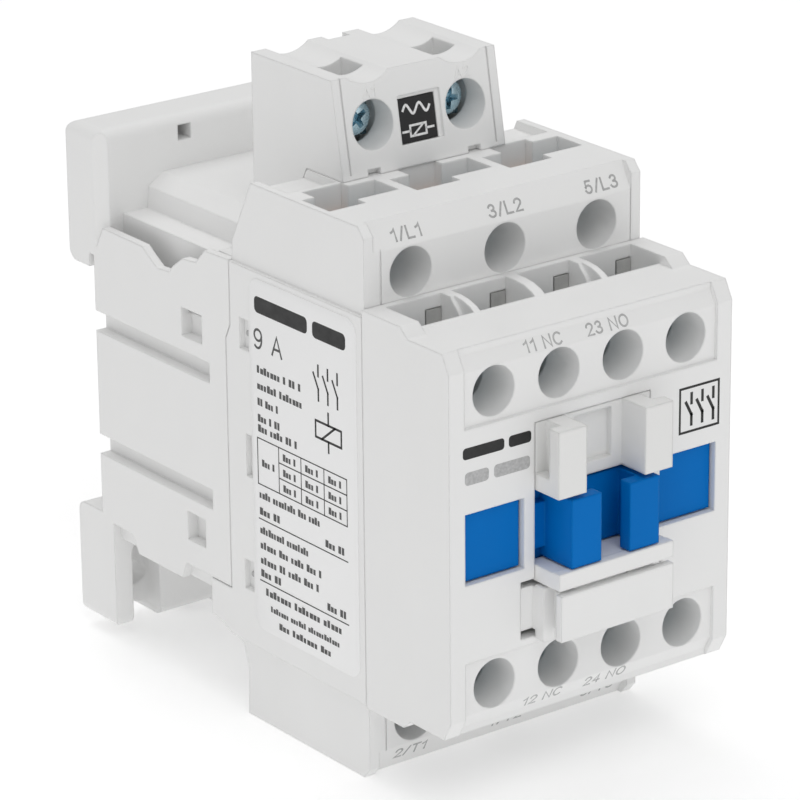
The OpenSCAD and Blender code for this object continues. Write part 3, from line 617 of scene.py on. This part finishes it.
def word_bars(shape, surface, u, v, lengths, height, gap):
    """Bars with round ends, one for each word of a heading."""
    for length in lengths:
        outline = rounded_outline(length / 2, height / 2, height * 0.3, steps=4)
        ink_outline(shape, surface, [(u + length / 2 + x, v + y) for x, y in outline])
        u += length + gap


def arc(u, v, half_u, half_v, start, end, steps=9):
    """Points of an elliptical arc about (u, v), from one angle to another in degrees."""
    turns = [math.radians(start + (end - start) * i / steps) for i in range(steps + 1)]
    return [(u + half_u * math.cos(turn), v + half_v * math.sin(turn)) for turn in turns]


# Each character's width and strokes, in cap heights
CHARACTERS = {
    "1": (0.34, [[(0.0, 0.74), (0.18, 0.83), (0.28, 1.0), (0.28, 0.0)]]),
    "2": (0.52, [arc(0.26, 0.72, 0.26, 0.28, 175, -35) + [(0.0, 0.0), (0.54, 0.0)]]),
    "3": (0.52, [arc(0.25, 0.76, 0.22, 0.24, 160, -90), arc(0.25, 0.26, 0.27, 0.26, 90, -165)]),
    "4": (0.56, [[(0.4, 0.0), (0.4, 1.0), (0.0, 0.28), (0.56, 0.28)]]),
    "5": (0.52, [[(0.48, 1.0), (0.1, 1.0), (0.03, 0.5)] + arc(0.25, 0.32, 0.27, 0.32, 145, -160)]),
    "6": (0.52, [arc(0.26, 0.3, 0.26, 0.3, 0, 360, 16), arc(0.3, 0.5, 0.3, 0.5, 55, 190)]),
    "9": (0.52, [arc(0.26, 0.7, 0.26, 0.3, 0, 360, 16), arc(0.22, 0.5, 0.3, 0.5, 10, -125)]),
    "/": (0.36, [[(0.0, 0.0), (0.36, 1.0)]]),
    "L": (0.5, [[(0.0, 1.0), (0.0, 0.0), (0.5, 0.0)]]),
    "T": (0.6, [[(0.0, 1.0), (0.6, 1.0)], [(0.3, 1.0), (0.3, 0.0)]]),
    "N": (0.62, [[(0.0, 0.0), (0.0, 1.0), (0.62, 0.0), (0.62, 1.0)]]),
    "C": (0.66, [arc(0.36, 0.5, 0.36, 0.5, 45, 315, 14)]),
    "O": (0.72, [arc(0.36, 0.5, 0.36, 0.5, 0, 360, 18)]),
    "A": (0.66, [[(0.0, 0.0), (0.33, 1.0), (0.66, 0.0)], [(0.12, 0.33), (0.54, 0.33)]]),
    " ": (0.2, []),
}
CHARACTER_GAP = 0.28
CHARACTER_STRETCH = 1.2
SAME_PLACE = 0.001
# Each stroke of a character is this share lower than the one before it, so that no two that cross are level
STROKE_STEP = 0.1


def draw_text(surface, entries, raised=INK, stroke=0.18):
    """Printed or raised characters. entries lists (text, u, v, cap height), each centred on (u, v)."""
    shape = bmesh.new()
    for text, u, v, cap in entries:
        width = sum(CHARACTERS[character][0] + CHARACTER_GAP for character in text) - CHARACTER_GAP
        wide = cap * CHARACTER_STRETCH
        left = u - width * wide / 2
        for character in text:
            advance, strokes = CHARACTERS[character]
            for i, points in enumerate(strokes):
                placed = [(left + x * wide, v + (y - 0.5) * cap) for x, y in points]
                closed = math.dist(placed[0], placed[-1]) < SAME_PLACE
                if closed:
                    placed.pop()
                ink_path(shape, surface, placed, cap * stroke, closed, raised * (1 - STROKE_STEP * i))
            left += (advance + CHARACTER_GAP) * wide
    return shape


def chamfer_pair(y, rise, run, climb):
    """The same chamfer on the line side and on the load side. y and rise are its middle's place in mm."""
    return [Surface((0, y, MID_Z / MM + side * rise), RIGHT, (0, side * run, climb)) for side in (1, -1)]


# Legends on the chamfers of the contact and front housings
LEGEND_CAP = 1.55
LEGEND_PITCH = 15.5
LEGEND_SHIFT = 0.6
LEGEND_DROP = 0.4
AUX_LEGEND_CAP = 1.45
AUX_LEGEND_SHIFT = -2.15
AUX_LEGEND_RISE = 0.05
line_chamfer, load_chamfer = chamfer_pair(-58.45, 35.15, 1.9, 3.5)
aux_line_chamfer, aux_load_chamfer = chamfer_pair(-75.85, 23.52, 1, 1.85)
for name, surface, rise, texts in (
    ("line_legend", line_chamfer, -LEGEND_DROP, ("1/L1", "3/L2", "5/L3")),
    ("load_legend", load_chamfer, LEGEND_DROP, ("2/T1", "4/T2", "6/T3")),
):
    entries = [(text, LEGEND_PITCH * (i - 1) + LEGEND_SHIFT, rise, LEGEND_CAP) for i, text in enumerate(texts)]
    add_print(name, draw_text(surface, entries), legend_ink)
for name, surface, texts in (
    ("aux_line_legend", aux_line_chamfer, ("11 NC", "23 NO")),
    ("aux_load_legend", aux_load_chamfer, ("12 NC", "24 NO")),
):
    entries = [
        (text, AUX_PITCH / MM * (i - 0.5) + AUX_LEGEND_SHIFT, AUX_LEGEND_RISE, AUX_LEGEND_CAP)
        for i, text in enumerate(texts)
    ]
    add_print(name, draw_text(surface, entries), pale_ink_and_shade)

# Embossed coil terminal marks and the white print of the coil plate, on the block's tilted face
BLOCK_LEAN = (0, 2.3, 12.75)
COIL_MARK_RISE = 10.6
COIL_MARK_CAP = 1.25
COIL_MARK_RELIEF = 0.11 * MM
PLATE_PLACE = (-0.2, 5.85, -0.35 * MM)
block_face = Surface((0, -43.2, 36.45), RIGHT, BLOCK_LEAN)
entries = [
    (text, side * COIL_PITCH / MM / 2, COIL_MARK_RISE, COIL_MARK_CAP) for text, side in (("A1", -1), ("A2", 1))
]
add_piece(
    "coil_marks", draw_text(block_face, entries, raised=COIL_MARK_RELIEF),
    moulded_plastic("moulded_mark", HOUSING_GREY, 0.52, variation=0.012, edge=0.04 * MM),
    "housing", smooth=False,
)


def draw_paths(shape, surface, paths):
    """Draws strokes, each given as (points, width, closed)."""
    for points, width, closed in paths:
        ink_path(shape, surface, points, width, closed)


# A sine wave over the symbol of a coil
WAVE_STEPS = 24
WAVE_HALF_WIDTH = 2.1
WAVE_HEIGHT = 0.62
WAVE_RISE = 1.35
wave = [
    (
        -WAVE_HALF_WIDTH + 2 * WAVE_HALF_WIDTH * i / WAVE_STEPS,
        WAVE_RISE + WAVE_HEIGHT * math.sin(4 * math.pi * i / WAVE_STEPS),
    )
    for i in range(WAVE_STEPS + 1)
]
PLATE_PATHS = [
    (wave, 0.34, False),
    ([(-1.25, -2.1), (1.25, -2.1), (1.25, -0.75), (-1.25, -0.75)], 0.3, True),
    ([(-2.4, -1.42), (-1.25, -1.42)], 0.3, False),
    ([(1.25, -1.42), (2.4, -1.42)], 0.3, False),
    ([(-0.7, -1.95), (0.7, -0.9)], 0.26, False),
]
plate_face = Surface(block_face.point(*PLATE_PLACE) / MM, RIGHT, BLOCK_LEAN)
shape = bmesh.new()
draw_paths(shape, plate_face, PLATE_PATHS)
add_print("coil_plate_print", shape, white_ink)

# Plain marks on the front frame, beside the guide for add-on blocks
front_face = Surface((0, -76.8, 0), RIGHT, (0, 0, 1))
for name, left, middle, lengths, height, gap, ink in (
    ("front_mark_upper", -20.4, 11.8, (6.4, 3.5), 1.5, 0.7, black_ink),
    ("front_mark_lower", -20.1, 8.5, (3.7, 5.6), 1.7, 0.8, pale_ink_and_shade),
):
    shape = bmesh.new()
    word_bars(shape, front_face, left, middle, lengths, height, gap)
    add_print(name, shape, ink)


def make_contact(u, v, height, stroke):
    """Paths for the schematic of a contact that closes: two leads and a slanted blade."""
    lead_end = v + height * 0.32
    return [
        ([(u, v), (u, lead_end)], stroke, False),
        ([(u, lead_end), (u - height * 0.22, v + height * 0.74)], stroke, False),
        ([(u, v + height * 0.7), (u, v + height)], stroke, False),
    ]


# Three contacts in a frame, to the right of the guide
SYMBOL_FRAME = [(14.1, 6.3), (20.5, 6.3), (20.5, 12.2), (14.1, 12.2)]
shape = bmesh.new()
draw_paths(shape, front_face, [(SYMBOL_FRAME, 0.32, True)])
for u in (16.0, 17.8, 19.6):
    draw_paths(shape, front_face, make_contact(u, 7.2, 4.1, 0.42))
add_print("front_symbol", shape, black_ink)


# ---------- Rating label ----------
LABEL_CORNER = 2.0
# The sheet's outer edge is eased over this depth, to a face that is smaller than its outline by these factors
LABEL_EASE = 0.01 * MM
LABEL_EASE_Y = 1 - 0.0012
LABEL_EASE_Z = 1 - 0.0005
label_low, label_high = node_box("rating_label")
label_middle = (label_low + label_high) / 2
label_size = (label_high - label_low) / MM
# The print ends in the plane of the CAD label's outer face
print_plane = label_low.x + INK
label_face = Surface((print_plane / MM, label_high.y / MM, label_high.z / MM), -REAR, UP)
shape = bmesh.new()
outline = rounded_outline(label_size.y / 2, label_size.z / 2, LABEL_CORNER, steps=10)
rings = []
for depth, ease_y, ease_z in (
    (label_high.x, 1, 1), (print_plane + LABEL_EASE, 1, 1), (print_plane, LABEL_EASE_Y, LABEL_EASE_Z),
):
    rings.append([
        shape.verts.new((depth, label_middle.y + u * ease_y * MM, label_middle.z + v * ease_z * MM))
        for u, v in outline
    ])
join_rings(shape, rings)
add_piece("rating_label_sheet", shape, FINISH["label_film"], "housing", ["rating_label"])

# Lines of blocks: distance from the left and down from the top, length, height, blocks per word
LABEL_LINES = [
    (1.4, 12.6, 9.6, 1.0, (7, 1, 2, 1)),
    (1.4, 14.8, 9.8, 1.0, (6, 7)),
    (1.4, 17.0, 4.6, 1.0, (2, 3, 1)),
    (1.4, 19.2, 4.9, 1.0, (3, 1, 2)),
    (1.4, 20.6, 8.6, 1.0, (3, 4, 2, 1)),
    (1.4, 29.7, 13.2, 1.0, (4, 8, 3, 4)),
    (1.4, 32.0, 4.6, 1.0, (3, 2)),
    (15.6, 32.0, 4.2, 1.0, (3, 2)),
    (1.4, 34.6, 10.6, 1.0, (9, 8)),
    (1.4, 36.7, 13.4, 1.0, (5, 3, 4, 3, 1)),
    (1.4, 38.8, 12.8, 1.0, (5, 2, 4, 3, 1)),
    (1.4, 40.6, 4.6, 1.0, (3, 2)),
    (15.8, 40.6, 4.2, 1.0, (3, 2)),
    (2.4, 43.0, 16.6, 1.0, (7, 7, 5)),
    (3.4, 45.0, 15.0, 0.8, (7, 6, 12)),
    (5.2, 46.9, 11.4, 0.9, (3, 7, 3)),
]
TABLE_COLUMNS = (1.2, 5.8, 10.6, 15.5, 20.3)
TABLE_ROWS = (21.5, 23.6, 25.7, 27.8)
# Rules under the table, down from the label's top
LABEL_RULES = (32.6, 41.2)
RULE_STROKE = 0.16
# The blocks in each cell, from its upper left corner
CELL_MARGIN = 0.9
CELL_DROP = 1.6
CELL_LENGTH = 2.9
CELL_HEIGHT = 0.95
CELL_WORDS = (3, 1)

shape = bmesh.new()
word_bars(shape, label_face, 1.1, -3.4, (11.3, 6.9), 2.2, 1.1)
add_print("label_heading", shape, black_ink)

shape = bmesh.new()
for u, down, length, height, words in LABEL_LINES:
    greeked(shape, label_face, u, -down, length, height, words)
for row, top in enumerate(TABLE_ROWS[:-1]):
    for column, left in enumerate(TABLE_COLUMNS[:-1]):
        # the first column is one tall cell
        if column or row == 1:
            greeked(shape, label_face, left + CELL_MARGIN, -top - CELL_DROP, CELL_LENGTH, CELL_HEIGHT, CELL_WORDS)
add_print("label_text", shape, text_ink)

left, right = TABLE_COLUMNS[0], TABLE_COLUMNS[-1]
top, bottom = TABLE_ROWS[0], TABLE_ROWS[-1]
rules = [((left if down in (top, bottom) else TABLE_COLUMNS[1], -down), (right, -down)) for down in TABLE_ROWS]
rules += [((column, -top), (column, -bottom)) for column in TABLE_COLUMNS]
rules += [((left, -down), (right, -down)) for down in LABEL_RULES]
shape = bmesh.new()
draw_paths(shape, label_face, [(rule, RULE_STROKE, False) for rule in rules])
# Schematic of the three poles and their coil, where the approval marks would be
for u in (14.6, 16.6, 18.6):
    draw_paths(shape, label_face, make_contact(u, -12.6, 4.6, 0.32))
draw_paths(shape, label_face, [
    ([(13.9, -17.6), (19.3, -17.6), (19.3, -15.4), (13.9, -15.4)], 0.32, True),
    ([(15.2, -17.6), (18.0, -15.4)], 0.3, False),
    ([(16.6, -15.4), (16.6, -13.8)], 0.32, False),
    ([(16.6, -19.0), (16.6, -17.6)], 0.32, False),
])
add_print("label_rules", shape, black_ink)
add_print("label_rating", draw_text(label_face, [("9 A", 3.9, -8.0, 2.5)], stroke=0.13), text_ink)

# Moulded ejector nubs in the side windows of the contact housing, coloured with the pale grey ink as painted
# shadow: places and outline in mm
HALF_WIDTH = 22.5
DOT_Y = -34.4
DOT_Z = (16.0, -17.15)
DOT_OUTLINE = ((0.85, 0.42), (0.6, 0.4), (0.5, 0.28))
DOT_SIDES = 20
shape = bmesh.new()
for side in (-1, 1):
    for z in DOT_Z:
        rings = []
        for depth, radius in DOT_OUTLINE:
            ring = []
            for i in range(DOT_SIDES):
                turn = 2 * math.pi * i / DOT_SIDES
                ring.append(shape.verts.new(Vector((
                    side * (HALF_WIDTH - depth), DOT_Y + radius * math.cos(turn), z + radius * math.sin(turn)
                )) * MM))
            rings.append(ring)
        join_rings(shape, rings)
# The nubs get the pale grey ink as painted shadow, where the housing's own plastic would be
add_piece("window_nubs_painted_shadow", shape, pale_ink_and_shade, "housing")


# ---------- Stage, light and camera ----------
FLOOR_RADIUS = 4.0
FLOOR_GAP = 0.05 * MM
FLOOR_GLOW = 0.27
SKY_STRENGTH = 0.52
# Each light's place from the part's middle, its size in metres and its power in watts
LIGHTS = {
    "key_light": ((-0.3, -0.65, 1.0), 0.9, 2.6),
    "fill_light": ((0.2, -1.1, -0.05), 0.9, 0.3),
    "top_light": ((0.1, 0.3, 1.1), 1.0, 3.2),
}


def look_at(piece, target):
    """Turns a light's -Z axis to a point."""
    direction = Vector(target) - piece.location
    piece.rotation_mode = "QUATERNION"
    piece.rotation_quaternion = direction.to_track_quat("-Z", "Y")


def soft_light(name, place, target, size, power):
    """A round area light."""
    lamp = bpy.data.lights.new(name, "AREA")
    lamp.shape = "DISK"
    lamp.size = size
    lamp.energy = power
    piece = bpy.data.objects.new(name, lamp)
    piece.location = place
    bpy.context.scene.collection.objects.link(piece)
    look_at(piece, target)


def build_stage():
    """The pale floor, the sky and the three soft lights."""
    floor_mesh = bpy.data.meshes.new("floor")
    shape = bmesh.new()
    bmesh.ops.create_circle(shape, cap_ends=True, segments=96, radius=FLOOR_RADIUS)
    shape.to_mesh(floor_mesh)
    shape.free()
    floor = bpy.data.objects.new("floor", floor_mesh)
    floor.location.z = cad_low.z - FLOOR_GAP
    bpy.context.scene.collection.objects.link(floor)
    material, _, shader = new_material("pale_floor")
    shader.inputs["Base Color"].default_value = (0.93, 0.93, 0.93, 1)
    shader.inputs["Roughness"].default_value = 0.9
    shader.inputs["Specular IOR Level"].default_value = 0.1
    shader.inputs["Emission Color"].default_value = (1, 1, 1, 1)
    shader.inputs["Emission Strength"].default_value = FLOOR_GLOW
    floor_mesh.materials.append(material)
    floor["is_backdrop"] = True

    world = bpy.data.worlds.new("studio")
    world.use_nodes = True
    sky = world.node_tree.nodes["Background"]
    sky.inputs["Color"].default_value = (1, 1, 1, 1)
    sky.inputs["Strength"].default_value = SKY_STRENGTH
    bpy.context.scene.world = world

    middle = (cad_low + cad_high) / 2
    for name, (offset, size, power) in LIGHTS.items():
        soft_light(name, middle + Vector(offset), middle, size, power)
    bpy.context.scene.view_settings.view_transform = "Standard"
    bpy.context.scene.view_settings.look = "None"


# Solved from the edges in the photo, with the housing's width as the scale
CAMERA_AZIMUTH = 37.08
CAMERA_ELEVATION = 20.41
CAMERA_ROLL = -0.58
CAMERA_DISTANCE = 580.4 * MM
CAMERA_TARGET = Vector((0, -37.36, 2.71)) * MM
CAMERA_LENS = 200.06


def build_camera():
    """The camera at the photo's angle."""
    azimuth = math.radians(CAMERA_AZIMUTH)
    elevation = math.radians(CAMERA_ELEVATION)
    forward = Vector((
        math.sin(azimuth) * math.cos(elevation), math.cos(azimuth) * math.cos(elevation), -math.sin(elevation),
    ))
    level = forward.cross(UP).normalized()
    right = Matrix.Rotation(math.radians(CAMERA_ROLL), 3, -forward) @ level
    up = right.cross(forward)
    view = Matrix((right, up, -forward)).transposed().to_4x4()
    view.translation = CAMERA_TARGET - forward * CAMERA_DISTANCE
    lens = bpy.data.cameras.new("camera")
    lens.lens = CAMERA_LENS
    lens.sensor_width = 36
    lens.clip_start = 0.05
    lens.clip_end = 50
    camera = bpy.data.objects.new("camera", lens)
    camera.matrix_world = view
    bpy.context.scene.collection.objects.link(camera)
    bpy.context.scene.camera = camera


build_stage()
build_camera()

low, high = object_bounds()
